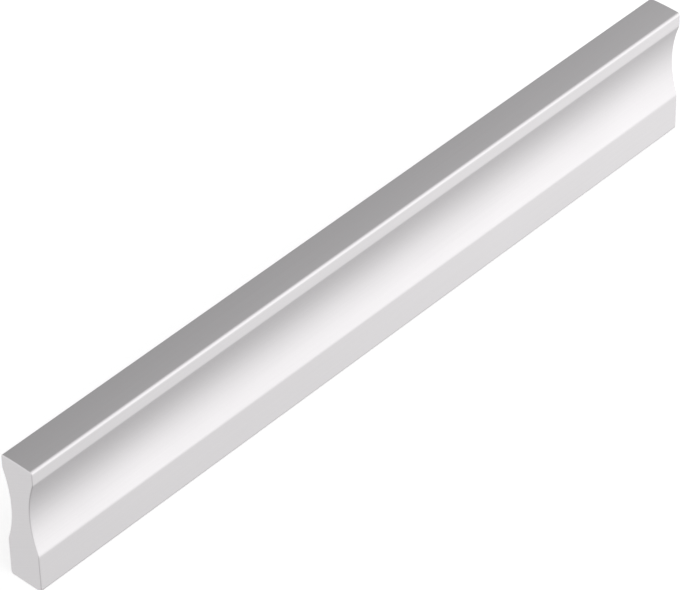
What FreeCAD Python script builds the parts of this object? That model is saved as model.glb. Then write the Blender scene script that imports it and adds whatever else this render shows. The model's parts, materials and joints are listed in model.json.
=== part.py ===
import FreeCAD, Part
import math
import os

# A finger pull for a drawer or a door: a solid aluminium bar of waisted section, cut to length.
# The bar stands on its mounting face, with X along it, Y across it and Z up.
# The origin is the middle of the mounting face. Sizes are in millimetres and degrees.

# The bar and its section
LENGTH = 168.0
WIDTH = 7.25
HEIGHT = 27.1  # to the long edges of the top
CROWN = 0.1  # rise of the top between those edges
LIP_HEIGHT = 3.0  # straight band under the top
FOOT_HEIGHT = 8.15  # straight band above the mounting face
HOLLOW_DEPTH = 1.4  # of each finger hollow, halfway up it

# Radii of the rounded edges
TOP_RADIUS = 0.6
HOLLOW_RADIUS = 2.0  # where a hollow meets the lip and the foot
BASE_RADIUS = 0.6
END_RADIUS = 0.2

# Blind holes in the mounting face, drilled for M4 threads
SCREW_INSET = 4.0  # from a hole's axis to the nearer end of the bar
TAP_DRILL_DIAMETER = 3.3
HOLE_DEPTH = 10.0  # of the full diameter
DRILL_POINT_ANGLE = 118.0
MOUTH_CHAMFER = 0.4

# Two places nearer than this are the same place
SAME_PLACE = 1e-4

HALF_LENGTH = LENGTH / 2
HALF_WIDTH = WIDTH / 2
LIP_EDGE = HEIGHT - LIP_HEIGHT
HOLLOW_MIDDLE = (LIP_EDGE + FOOT_HEIGHT) / 2


def on_section(y, z):
    """A point of the section at the near end of the bar."""
    return FreeCAD.Vector(-HALF_LENGTH, y, z)


def line(start, end):
    return Part.LineSegment(start, end).toShape()


def arc(start, middle, end):
    return Part.Arc(start, middle, end).toShape()


def section_side(side):
    """One side of the section from the top down: lip, finger hollow and foot. The front is side -1."""
    flat = side * HALF_WIDTH
    top = on_section(flat, HEIGHT)
    lip_edge = on_section(flat, LIP_EDGE)
    waist = on_section(flat - side * HOLLOW_DEPTH, HOLLOW_MIDDLE)
    foot_edge = on_section(flat, FOOT_HEIGHT)
    base = on_section(flat, 0)
    return [line(top, lip_edge), arc(lip_edge, waist, foot_edge), line(foot_edge, base)]


def sharp_bar():
    """The bar with its section's corners still sharp."""
    front = section_side(-1)
    back = section_side(1)
    base = line(on_section(-HALF_WIDTH, 0), on_section(HALF_WIDTH, 0))
    top = arc(
        on_section(HALF_WIDTH, HEIGHT),
        on_section(0, HEIGHT + CROWN),
        on_section(-HALF_WIDTH, HEIGHT),
    )
    outline = Part.Wire(front + [base] + back[::-1] + [top])
    return Part.Face(outline).extrude(FreeCAD.Vector(LENGTH, 0, 0))


def edges_along(bar, height):
    """The bar's long edges at one height."""
    return [
        edge
        for edge in bar.Edges
        if abs(edge.Length - LENGTH) < SAME_PLACE and abs(edge.CenterOfMass.z - height) < SAME_PLACE
    ]


def end_edges(bar):
    """The edges around both end faces."""
    return [edge for edge in bar.Edges if abs(abs(edge.CenterOfMass.x) - HALF_LENGTH) < SAME_PLACE]


def rounded_bar():
    bar = sharp_bar()
    long_edges = [
        (HEIGHT, TOP_RADIUS),
        (LIP_EDGE, HOLLOW_RADIUS),
        (FOOT_HEIGHT, HOLLOW_RADIUS),
        (0, BASE_RADIUS),
    ]
    for height, radius in long_edges:
        bar = bar.makeFillet(radius, edges_along(bar, height))
    return bar.makeFillet(END_RADIUS, end_edges(bar))


def screw_hole(x):
    """The space of one blind hole: a chamfered mouth, a straight wall and a drill point."""
    radius = TAP_DRILL_DIAMETER / 2
    point_height = radius / math.tan(math.radians(DRILL_POINT_ANGLE / 2))
    half_outline = [
        (0, 0),
        (radius + MOUTH_CHAMFER, 0),
        (radius, MOUTH_CHAMFER),
        (radius, HOLE_DEPTH),
        (0, HOLE_DEPTH + point_height),
        (0, 0),
    ]
    outline = Part.makePolygon([FreeCAD.Vector(x + out, 0, up) for out, up in half_outline])
    axis_foot = FreeCAD.Vector(x, 0, 0)
    return Part.Face(outline).revolve(axis_foot, FreeCAD.Vector(0, 0, 1), 360)


def pull_profile():
    screw_x = HALF_LENGTH - SCREW_INSET
    holes = [screw_hole(x) for x in (-screw_x, screw_x)]
    return rounded_bar().cut(holes)


os.makedirs("parts", exist_ok=True)
pull_profile().exportStep("parts/pull_profile.step")
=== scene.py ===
import json
import math

import bpy
from mathutils import Matrix, Vector


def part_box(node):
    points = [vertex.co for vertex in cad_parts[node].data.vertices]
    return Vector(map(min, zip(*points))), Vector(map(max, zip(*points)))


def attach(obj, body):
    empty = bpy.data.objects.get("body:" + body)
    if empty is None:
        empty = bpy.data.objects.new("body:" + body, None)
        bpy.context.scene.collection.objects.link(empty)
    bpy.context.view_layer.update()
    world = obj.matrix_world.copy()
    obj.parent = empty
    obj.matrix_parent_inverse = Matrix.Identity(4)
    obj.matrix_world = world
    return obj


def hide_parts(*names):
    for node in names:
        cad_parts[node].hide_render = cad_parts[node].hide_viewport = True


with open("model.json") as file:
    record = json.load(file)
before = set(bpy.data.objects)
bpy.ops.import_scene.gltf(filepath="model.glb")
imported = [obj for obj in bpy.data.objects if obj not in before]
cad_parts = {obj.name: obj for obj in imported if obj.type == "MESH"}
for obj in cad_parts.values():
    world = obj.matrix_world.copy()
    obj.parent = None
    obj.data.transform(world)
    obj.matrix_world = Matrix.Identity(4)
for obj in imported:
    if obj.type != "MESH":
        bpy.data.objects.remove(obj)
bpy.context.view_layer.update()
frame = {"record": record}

# A satin silver anodised finger pull: a solid aluminium bar of waisted section, standing on its foot.
# Lengths are in metres and angles in degrees. X runs along the bar, Y across it and Z up.

MM = 0.001
NODE = "pull_profile"

# Section of the bar: the outer sizes are the frame's own, the rest are the section's bands and radii
LOW_CORNER, HIGH_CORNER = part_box(NODE)
CROWN = 0.1 * MM
LENGTH = HIGH_CORNER.x - LOW_CORNER.x
WIDTH = HIGH_CORNER.y - LOW_CORNER.y
HEIGHT = HIGH_CORNER.z - CROWN
LIP_HEIGHT = 3.0 * MM
FOOT_HEIGHT = 8.15 * MM
HOLLOW_DEPTH = 1.4 * MM
TOP_RADIUS = 0.6 * MM
HOLLOW_RADIUS = 2.0 * MM
BASE_RADIUS = 0.6 * MM
END_RADIUS = 0.2 * MM

# Tapped holes in the mounting face
SCREWS = next(mount for mount in frame["record"]["mounts"] if mount["name"] == "screw_holes")["dims"]
SCREW_COUNT = SCREWS["count"]
SCREW_SPACING = SCREWS["spacing_x_mm"] * MM
TAP_RADIUS = SCREWS["hole_r_mm"] * MM
THREAD_RADIUS = 2.0 * MM
THREAD_PITCH = 0.7 * MM
HOLE_DEPTH = 10.0 * MM
DRILL_POINT_ANGLE = 118.0
DRILL_TIP_RADIUS = 0.04 * MM
MOUTH_CHAMFER = 0.4 * MM
THREAD_RUNOUT = 1.5  # turns over which the thread fades out at the bottom of its hole

# Fineness of the mesh
CROWN_POINTS = 5
HOLLOW_POINTS = 49
CORNER_POINTS = 10
BAR_STRETCHES = 28
HOLE_SIDES = 48
ROWS_PER_TURN = 8
END_ROUND_STEPS = 4
SAME_PLACE = 0.001 * MM
SHARP_ANGLE = 35.0

# Satin anodised finish: its colour, the sizes of its marks and how deep they are
SATIN_COLOUR = (0.731, 0.715, 0.725)
SATIN_ROUGHNESS = 0.4
ETCH_GRAIN = 0.11 * MM
ETCH_DEPTH = 0.0012 * MM
DIE_LINE_LENGTH = 40.0 * MM
DIE_LINE_WIDTH = 0.35 * MM
SAW_LINE_WIDTH = 0.25 * MM
SAW_BLADE_AXIS = (-60.0 * MM, -90.0 * MM)
LINE_DEPTH = 0.0012 * MM
CLOUD_SIZE = 22.0 * MM
END_FACING = 0.9  # a face whose normal points this far along the bar is a cut end

# Bare metal of the threads, with the marks that the tap leaves round the hole
THREAD_COLOUR = (0.82, 0.81, 0.80)
THREAD_ROUGHNESS = 0.28
TAP_LINE_LENGTH = 1.5 * MM
TAP_LINE_WIDTH = 0.04 * MM
TAP_LINE_DEPTH = 0.001 * MM

# How far a finish's marks change its tone and its roughness, from the palest mark to the darkest
TONE_RANGE = 0.06
ROUGHNESS_RANGE = 0.08
NOISE_DETAIL = 3.0

# Studio: white all round, with a soft light and three dark cards in it that the camera doesn't see. Each
# has the angle of its middle from the front towards the bar's far end, its height, its strength there,
# which is below zero for a dark card, and its reach, the angle from its middle at which it has faded out.
STUDIO_WHITE = 1.0
STUDIO_CARDS = {
    "front light": (65.0, 13.0, 0.44, 81.0),
    "dark card above": (137.0, 41.0, -0.66, 82.0),
    "dark card below": (102.0, -82.0, -0.57, 65.0),
    "dark card in front": (-43.0, -40.0, -0.26, 50.0),
}
FLOOR_HALF = 3.0
FLOOR_GAP = 0.05 * MM
FLOOR_COLOUR = (0.8, 0.8, 0.8, 1.0)
FLOOR_GLOW = 0.45

# Camera, as the photograph was taken
AIM = Vector((-5.65 * MM, 0.0, 13.6 * MM))
AZIMUTH = -46.70
ELEVATION = 40.19
ROLL = -1.256
DISTANCE = 762.4 * MM
LENS = 229.33
SENSOR_WIDTH = 36.0


class Sketch:
    """Adds nodes to one tree. A socket is given a plain value or another node's output."""

    def __init__(self, tree):
        self.tree = tree

    def put(self, socket, value):
        if isinstance(value, bpy.types.NodeSocket):
            self.tree.links.new(value, socket)
        else:
            socket.default_value = value

    def add(self, kind, sockets=None, **settings):
        node = self.tree.nodes.new(kind)
        for name, value in settings.items():
            setattr(node, name, value)
        for name, value in (sockets or {}).items():
            self.put(node.inputs[name], value)
        return node

    def math(self, operation, *values):
        node = self.add("ShaderNodeMath", operation=operation)
        for socket, value in zip(node.inputs, values):
            self.put(socket, value)
        return node.outputs[0]

    def vector(self, x, y, z):
        return self.add("ShaderNodeCombineXYZ", {"X": x, "Y": y, "Z": z}).outputs[0]

    def join(self, *parts):
        node = self.add("GeometryNodeJoinGeometry")
        for part in parts:
            self.tree.links.new(part, node.inputs[0])
        return node.outputs[0]


def geometry_tree(name, values):
    """A tree with a named input for each value. Returns its sketch, its inputs and its output's socket."""
    kinds = {int: "NodeSocketInt", float: "NodeSocketFloat", bpy.types.Material: "NodeSocketMaterial"}
    tree = bpy.data.node_groups.new(name, "GeometryNodeTree")
    for label, value in values.items():
        tree.interface.new_socket(label, in_out="INPUT", socket_type=kinds[type(value)])
    tree.interface.new_socket("Geometry", in_out="OUTPUT", socket_type="NodeSocketGeometry")
    inputs = tree.nodes.new("NodeGroupInput").outputs
    output = tree.nodes.new("NodeGroupOutput").inputs["Geometry"]
    return Sketch(tree), inputs, output


def mesh_from_tree(name, tree, values, finish):
    """The mesh that a tree makes of these values, with the modifiers that finish adds after it."""
    maker = bpy.data.objects.new(name, bpy.data.meshes.new(name))
    bpy.context.scene.collection.objects.link(maker)
    modifier = maker.modifiers.new(tree.name, "NODES")
    modifier.node_group = tree
    for item in tree.interface.items_tree:
        if item.in_out == "INPUT":
            modifier[item.identifier] = values[item.name]
    finish(maker)
    mesh = bpy.data.meshes.new_from_object(maker.evaluated_get(bpy.context.evaluated_depsgraph_get()))
    bpy.data.objects.remove(maker)
    mesh.name = name
    for index in reversed(range(len(mesh.materials))):
        if mesh.materials[index] is None:
            mesh.materials.pop(index=index)
    return mesh


def section_outline(sketch, size):
    """The bar's section as one closed curve, X across and Y up, with its corners rounded."""
    half = sketch.math("DIVIDE", size["Width"], 2.0)
    lip_edge = sketch.math("SUBTRACT", size["Height"], size["Lip height"])
    crown_top = sketch.math("ADD", size["Height"], size["Crown"])
    waist = sketch.math("SUBTRACT", half, size["Hollow depth"])
    span = sketch.math("ADD", lip_edge, size["Foot height"])
    middle = sketch.math("DIVIDE", span, 2.0)
    other_half = sketch.math("MULTIPLY", half, -1.0)

    def line(start, end):
        return sketch.add("GeometryNodeCurvePrimitiveLine", {"Start": start, "End": end}).outputs[0]

    def arc(start, through, end, points):
        sockets = {"Resolution": points, "Start": start, "Middle": through, "End": end}
        return sketch.add("GeometryNodeCurveArc", sockets, mode="POINTS").outputs[0]

    top_corner = sketch.vector(half, size["Height"], 0.0)
    lip_corner = sketch.vector(half, lip_edge, 0.0)
    foot_corner = sketch.vector(half, size["Foot height"], 0.0)
    base_corner = sketch.vector(half, 0.0, 0.0)
    hollow = arc(lip_corner, sketch.vector(waist, middle, 0.0), foot_corner, HOLLOW_POINTS)
    side = sketch.join(line(top_corner, lip_corner), hollow, line(foot_corner, base_corner))
    mirrored = {"Geometry": side, "Scale": (-1.0, 1.0, 1.0)}
    other_side = sketch.add("GeometryNodeTransform", mirrored).outputs[0]
    other_top = sketch.vector(other_half, size["Height"], 0.0)
    top = arc(other_top, sketch.vector(0.0, crown_top, 0.0), top_corner, CROWN_POINTS)
    base = line(base_corner, sketch.vector(other_half, 0.0, 0.0))

    edges = sketch.add("GeometryNodeCurveToMesh", {"Curve": sketch.join(side, other_side, top, base)})
    ring = {"Geometry": edges.outputs[0], "Distance": SAME_PLACE}
    ring = sketch.add("GeometryNodeMergeByDistance", ring)
    sharp = sketch.add("GeometryNodeMeshToCurve", {"Mesh": ring.outputs[0]}).outputs[0]

    place = sketch.add("GeometryNodeInputPosition").outputs[0]
    up = sketch.add("ShaderNodeSeparateXYZ", {0: place}).outputs["Y"]
    radius = 0.0
    corners = [
        (size["Height"], size["Top radius"]),
        (lip_edge, size["Hollow radius"]),
        (size["Foot height"], size["Hollow radius"]),
        (0.0, size["Base radius"]),
    ]
    for level, corner_radius in corners:
        here = sketch.math("COMPARE", up, level, SAME_PLACE)
        radius = sketch.math("MULTIPLY_ADD", here, corner_radius, radius)
    rounding = {"Curve": sharp, "Count": CORNER_POINTS, "Radius": radius, "Limit Radius": True}
    return sketch.add("GeometryNodeFilletCurve", rounding, mode="POLY").outputs[0]


def swept_bar(sketch, size):
    """The section carried along the bar's length, with closed ends."""
    half_length = sketch.math("DIVIDE", size["Length"], 2.0)
    start = sketch.vector(sketch.math("MULTIPLY", half_length, -1.0), 0.0, 0.0)
    end = sketch.vector(half_length, 0.0, 0.0)
    path = sketch.add("GeometryNodeCurvePrimitiveLine", {"Start": start, "End": end}).outputs[0]
    path = sketch.add("GeometryNodeResampleCurve", {"Curve": path, "Count": BAR_STRETCHES + 1}).outputs[0]
    path = sketch.add("GeometryNodeSetCurveTilt", {"Curve": path, "Tilt": math.pi}).outputs[0]
    sweep = {"Curve": path, "Profile Curve": section_outline(sketch, size), "Fill Caps": True}
    bar = sketch.add("GeometryNodeCurveToMesh", sweep).outputs[0]
    return sketch.add("GeometryNodeMergeByDistance", {"Geometry": bar, "Distance": SAME_PLACE}).outputs[0]


def tapped_hole(sketch, size):
    """The space of one tapped hole, standing on its mouth: chamfer, right-hand thread and drill point."""
    point_slope = math.tan(math.radians(DRILL_POINT_ANGLE / 2))
    depth = HOLE_DEPTH + TAP_RADIUS / point_slope
    overrun = MOUTH_CHAMFER  # how far it starts below the mounting face, so that it cuts cleanly through it
    rows = round((depth + overrun) / THREAD_PITCH * ROWS_PER_TURN)
    blank = {"Vertices": HOLE_SIDES, "Side Segments": rows, "Radius": TAP_RADIUS, "Depth": depth + overrun}
    blank = sketch.add("GeometryNodeMeshCylinder", blank, fill_type="NGON").outputs["Mesh"]
    place = sketch.add("GeometryNodeInputPosition").outputs[0]
    place = sketch.add("ShaderNodeSeparateXYZ", {0: place}).outputs
    up = sketch.math("ADD", place["Z"], (depth - overrun) / 2)
    angle = sketch.math("ARCTAN2", place["Y"], place["X"])

    turns_up = sketch.math("DIVIDE", up, size["Thread pitch"])
    phase = sketch.math("SUBTRACT", sketch.math("MULTIPLY", turns_up, 2 * math.pi), angle)
    wave = sketch.math("MULTIPLY_ADD", sketch.math("COSINE", phase), -0.5, 0.5)
    thread_end = sketch.math("MULTIPLY_ADD", size["Thread pitch"], -THREAD_RUNOUT, size["Hole depth"])
    fade = {"Value": up, "From Min": size["Hole depth"], "From Max": thread_end}
    fade = sketch.add("ShaderNodeMapRange", fade, interpolation_type="SMOOTHSTEP").outputs[0]
    thread_height = sketch.math("SUBTRACT", size["Thread radius"], size["Tap radius"])
    thread = sketch.math("MULTIPLY", sketch.math("MULTIPLY", wave, fade), thread_height)
    wall = sketch.math("ADD", size["Tap radius"], thread)

    mouth = sketch.math("ADD", size["Tap radius"], size["Mouth chamfer"])
    mouth = sketch.math("SUBTRACT", mouth, sketch.math("MAXIMUM", up, 0.0))
    point = sketch.math("MULTIPLY", sketch.math("SUBTRACT", depth, up), point_slope)
    radius = sketch.math("MINIMUM", sketch.math("MAXIMUM", wall, mouth), point)
    radius = sketch.math("MAXIMUM", radius, DRILL_TIP_RADIUS)
    x = sketch.math("MULTIPLY", radius, sketch.math("COSINE", angle))
    y = sketch.math("MULTIPLY", radius, sketch.math("SINE", angle))
    shaped = {"Geometry": blank, "Position": sketch.vector(x, y, up)}
    return sketch.add("GeometryNodeSetPosition", shaped).outputs[0]


def bar_tree(values):
    """The tree that makes the whole bar: swept section, tapped holes, marked edges and finishes."""
    sketch, size, output = geometry_tree("Pull bar", values)
    half_spacing = sketch.math("DIVIDE", size["Screw spacing"], 2.0)
    first = sketch.vector(sketch.math("MULTIPLY", half_spacing, -1.0), 0.0, 0.0)
    step = sketch.vector(size["Screw spacing"], 0.0, 0.0)
    row = {"Count": size["Screw count"], "Start Location": first, "Offset": step}
    row = sketch.add("GeometryNodeMeshLine", row, mode="OFFSET").outputs[0]
    holes = {"Points": row, "Instance": tapped_hole(sketch, size)}
    holes = sketch.add("GeometryNodeInstanceOnPoints", holes).outputs[0]
    holes = sketch.add("GeometryNodeRealizeInstances", {"Geometry": holes}).outputs[0]
    drilled = sketch.add("GeometryNodeMeshBoolean", operation="DIFFERENCE", solver="EXACT")
    sketch.put(drilled.inputs["Mesh 1"], swept_bar(sketch, size))
    sketch.put(drilled.inputs["Mesh 2"], holes)

    place = sketch.add("GeometryNodeInputPosition").outputs[0]
    place = sketch.add("ShaderNodeSeparateXYZ", {0: place}).outputs
    along = sketch.math("ABSOLUTE", place["X"])
    half_length = sketch.math("DIVIDE", size["Length"], 2.0)
    at_end = sketch.math("COMPARE", along, half_length, SAME_PLACE)
    marked = {"Geometry": drilled.outputs["Mesh"], "Name": "bevel_weight_edge", "Value": at_end}
    marked = sketch.add("GeometryNodeStoreNamedAttribute", marked, data_type="FLOAT", domain="EDGE")

    smooth = sketch.add("GeometryNodeSetShadeSmooth", {"Geometry": marked.outputs[0]}, domain="FACE")
    edge_angle = sketch.add("GeometryNodeInputMeshEdgeAngle").outputs["Unsigned Angle"]
    sharp = sketch.math("GREATER_THAN", edge_angle, math.radians(SHARP_ANGLE))
    sharp = sketch.math("SUBTRACT", sharp, at_end)
    creased = {"Geometry": smooth.outputs[0], "Selection": sharp, "Shade Smooth": False}
    creased = sketch.add("GeometryNodeSetShadeSmooth", creased, domain="EDGE").outputs[0]

    from_axis = {0: sketch.vector(sketch.math("SUBTRACT", along, half_spacing), place["Y"], 0.0)}
    from_axis = sketch.add("ShaderNodeVectorMath", from_axis, operation="LENGTH")
    mouth = sketch.math("ADD", size["Tap radius"], size["Mouth chamfer"])
    inside = sketch.math("LESS_THAN", from_axis.outputs["Value"], mouth)
    above_mouth = sketch.math("GREATER_THAN", place["Z"], SAME_PLACE)
    below_middle = sketch.math("LESS_THAN", place["Z"], sketch.math("DIVIDE", size["Height"], 2.0))
    in_hole = sketch.math("MULTIPLY", inside, sketch.math("MULTIPLY", above_mouth, below_middle))
    whole = sketch.add("GeometryNodeRealizeInstances", {"Geometry": creased}).outputs[0]
    whole = {"Geometry": whole, "Material": size["Satin finish"]}
    whole = sketch.add("GeometryNodeSetMaterial", whole).outputs[0]
    whole = {"Geometry": whole, "Selection": in_hole, "Material": size["Tapped finish"]}
    whole = sketch.add("GeometryNodeSetMaterial", whole).outputs[0]
    sketch.put(output, whole)
    return sketch.tree


def round_the_ends(bar):
    """Breaks the edges of the cut ends and keeps the flats flat beside their rounded edges."""
    bevel = bar.modifiers.new("End edges", "BEVEL")
    bevel.limit_method = "WEIGHT"
    bevel.width = END_RADIUS
    bevel.segments = END_ROUND_STEPS
    bevel.use_clamp_overlap = False
    weighted = bar.modifiers.new("Flats", "WEIGHTED_NORMAL")
    weighted.keep_sharp = True


def shader(name):
    """A new material's sketch and its Principled shader."""
    material = bpy.data.materials.new(name)
    material.use_nodes = True
    return material, Sketch(material.node_tree), material.node_tree.nodes["Principled BSDF"]


def noise(sketch, place, size):
    """Noise whose marks have about this size along X, Y and Z."""
    scale = tuple(1.0 / length for length in size)
    scaled = sketch.add("ShaderNodeMapping", {"Vector": place, "Scale": scale}).outputs[0]
    sockets = {"Vector": scaled, "Scale": 1.0, "Detail": NOISE_DETAIL}
    return sketch.add("ShaderNodeTexNoise", sockets).outputs[0]


def metal(name, colour, roughness, marks):
    """A metal whose marks, which a function gives as a shade and a height, change its tone and gloss."""
    material, sketch, principled = shader(name)
    shade, height = marks(sketch, sketch.add("ShaderNodeTexCoord").outputs)
    tone = sketch.add("ShaderNodeValToRGB", {"Fac": shade})
    for stop, change in zip(tone.color_ramp.elements, (-TONE_RANGE, TONE_RANGE)):
        stop.color = [channel * (1.0 + change) for channel in colour] + [1.0]
    gloss = {"Value": shade, "To Min": roughness + ROUGHNESS_RANGE, "To Max": roughness - ROUGHNESS_RANGE}
    gloss = sketch.add("ShaderNodeMapRange", gloss)
    bump = sketch.add("ShaderNodeBump", {"Height": height, "Distance": 1.0})
    principled.inputs["Metallic"].default_value = 1.0
    sketch.put(principled.inputs["Base Color"], tone.outputs["Color"])
    sketch.put(principled.inputs["Roughness"], gloss.outputs[0])
    sketch.put(principled.inputs["Normal"], bump.outputs[0])
    return material


def satin_marks(sketch, surface):
    """Etched grain and a soft cloud all over, lines from the die along the bar, saw marks on its ends."""
    place = surface["Object"]
    grain = noise(sketch, place, (ETCH_GRAIN, ETCH_GRAIN, ETCH_GRAIN))
    die_lines = noise(sketch, place, (DIE_LINE_LENGTH, DIE_LINE_WIDTH, DIE_LINE_WIDTH))
    cloud = noise(sketch, place, (CLOUD_SIZE, CLOUD_SIZE, CLOUD_SIZE))

    blade_axis = (0.0, *SAW_BLADE_AXIS)
    on_face = {0: place, 1: (0.0, 1.0, 1.0)}
    on_face = sketch.add("ShaderNodeVectorMath", on_face, operation="MULTIPLY").outputs[0]
    radius = sketch.add("ShaderNodeVectorMath", {0: on_face, 1: blade_axis}, operation="DISTANCE")
    radius = radius.outputs["Value"]
    sweep = {"W": sketch.math("DIVIDE", radius, SAW_LINE_WIDTH), "Scale": 1.0, "Detail": NOISE_DETAIL}
    saw_lines = sketch.add("ShaderNodeTexNoise", sweep, noise_dimensions="1D").outputs[0]

    facing = sketch.add("ShaderNodeSeparateXYZ", {0: surface["Normal"]}).outputs["X"]
    on_end = sketch.math("GREATER_THAN", sketch.math("ABSOLUTE", facing), END_FACING)
    lines = sketch.add("ShaderNodeMix", {"Factor": on_end, "A": die_lines, "B": saw_lines}).outputs[0]
    three_marks = sketch.math("ADD", sketch.math("ADD", grain, lines), cloud)
    shade = sketch.math("DIVIDE", three_marks, 3.0)
    height = sketch.math("MULTIPLY_ADD", lines, LINE_DEPTH, sketch.math("MULTIPLY", grain, ETCH_DEPTH))
    return shade, height


def thread_marks(sketch, surface):
    """Fine lines that the tap leaves round the hole."""
    lines = noise(sketch, surface["Object"], (TAP_LINE_LENGTH, TAP_LINE_LENGTH, TAP_LINE_WIDTH))
    return lines, sketch.math("MULTIPLY", lines, TAP_LINE_DEPTH)


def make_bar():
    """The dressed bar, in place of the plain solid."""
    values = {
        "Length": LENGTH,
        "Width": WIDTH,
        "Height": HEIGHT,
        "Crown": CROWN,
        "Lip height": LIP_HEIGHT,
        "Foot height": FOOT_HEIGHT,
        "Hollow depth": HOLLOW_DEPTH,
        "Top radius": TOP_RADIUS,
        "Hollow radius": HOLLOW_RADIUS,
        "Base radius": BASE_RADIUS,
        "Screw count": SCREW_COUNT,
        "Screw spacing": SCREW_SPACING,
        "Tap radius": TAP_RADIUS,
        "Thread radius": THREAD_RADIUS,
        "Thread pitch": THREAD_PITCH,
        "Hole depth": HOLE_DEPTH,
        "Mouth chamfer": MOUTH_CHAMFER,
        "Satin finish": metal("satin_anodised", SATIN_COLOUR, SATIN_ROUGHNESS, satin_marks),
        "Tapped finish": metal("tapped_metal", THREAD_COLOUR, THREAD_ROUGHNESS, thread_marks),
    }
    mesh = mesh_from_tree("pull_bar", bar_tree(values), values, round_the_ends)
    bar = bpy.data.objects.new("pull_bar", mesh)
    bpy.context.scene.collection.objects.link(bar)
    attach(bar, "root")
    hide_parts(NODE)


def direction_at(azimuth, height):
    """The direction at an angle from the front towards the bar's far end and at a height above the floor."""
    azimuth, height = math.radians(azimuth), math.radians(height)
    level = Vector((math.sin(azimuth), -math.cos(azimuth), 0.0))
    return level * math.cos(height) + Vector((0.0, 0.0, math.sin(height)))


def make_camera():
    """The camera where the photograph was taken from."""
    camera = bpy.data.objects.new("camera", bpy.data.cameras.new("camera"))
    bpy.context.scene.collection.objects.link(camera)
    camera.data.lens = LENS
    camera.data.sensor_width = SENSOR_WIDTH
    back = direction_at(AZIMUTH, ELEVATION)
    turn = (-back).to_track_quat("-Z", "Y").to_matrix() @ Matrix.Rotation(math.radians(ROLL), 3, "Z")
    camera.matrix_world = Matrix.Translation(AIM + back * DISTANCE) @ turn.to_4x4()
    bpy.context.scene.camera = camera


def make_floor():
    """A white floor that takes the bar's shadow. The metal mirrors the white studio, and not the floor."""
    mesh = bpy.data.meshes.new("floor")
    corners = [(-1, -1), (1, -1), (1, 1), (-1, 1)]
    mesh.from_pydata([(x * FLOOR_HALF, y * FLOOR_HALF, -FLOOR_GAP) for x, y in corners], [], [(0, 1, 2, 3)])
    floor = bpy.data.objects.new("floor", mesh)
    bpy.context.scene.collection.objects.link(floor)
    floor.visible_glossy = False
    floor.visible_shadow = False
    material, sketch, principled = shader("white_floor")
    sketch.tree.nodes.remove(principled)
    diffuse = sketch.add("ShaderNodeBsdfDiffuse", {"Color": FLOOR_COLOUR})
    ray = sketch.add("ShaderNodeLightPath").outputs
    seen = sketch.math("MULTIPLY", ray["Is Camera Ray"], FLOOR_GLOW)
    glow = sketch.add("ShaderNodeEmission", {"Strength": seen})
    both = sketch.add("ShaderNodeAddShader", {0: diffuse.outputs[0], 1: glow.outputs[0]})
    sketch.put(sketch.tree.nodes["Material Output"].inputs["Surface"], both.outputs[0])
    mesh.materials.append(material)


def make_light():
    """The white studio round the bar. The metal mirrors its white, its light and its cards."""
    world = bpy.data.worlds.new("studio")
    bpy.context.scene.world = world
    world.use_nodes = True
    sketch = Sketch(world.node_tree)
    direction = sketch.add("ShaderNodeTexCoord").outputs["Generated"]
    cards = 0.0
    for label, (azimuth, height, strength, reach) in STUDIO_CARDS.items():
        middle = {0: direction, 1: direction_at(azimuth, height)}
        cosine = sketch.add("ShaderNodeVectorMath", middle, operation="DOT_PRODUCT", label=label)
        rim = math.cos(math.radians(reach))
        fade = {"Value": cosine.outputs["Value"], "From Min": rim, "From Max": 1.0, "To Max": strength}
        fade = sketch.add("ShaderNodeMapRange", fade, interpolation_type="SMOOTHSTEP").outputs[0]
        cards = sketch.math("ADD", fade, cards)
    camera_ray = sketch.add("ShaderNodeLightPath").outputs["Is Camera Ray"]
    cards = sketch.math("MULTIPLY", cards, sketch.math("SUBTRACT", 1.0, camera_ray))
    background = world.node_tree.nodes["Background"]
    background.inputs["Color"].default_value = (1.0, 1.0, 1.0, 1.0)
    sketch.put(background.inputs["Strength"], sketch.math("ADD", cards, STUDIO_WHITE))


bpy.context.scene.view_settings.view_transform = "Standard"
make_bar()
make_floor()
make_light()
make_camera()
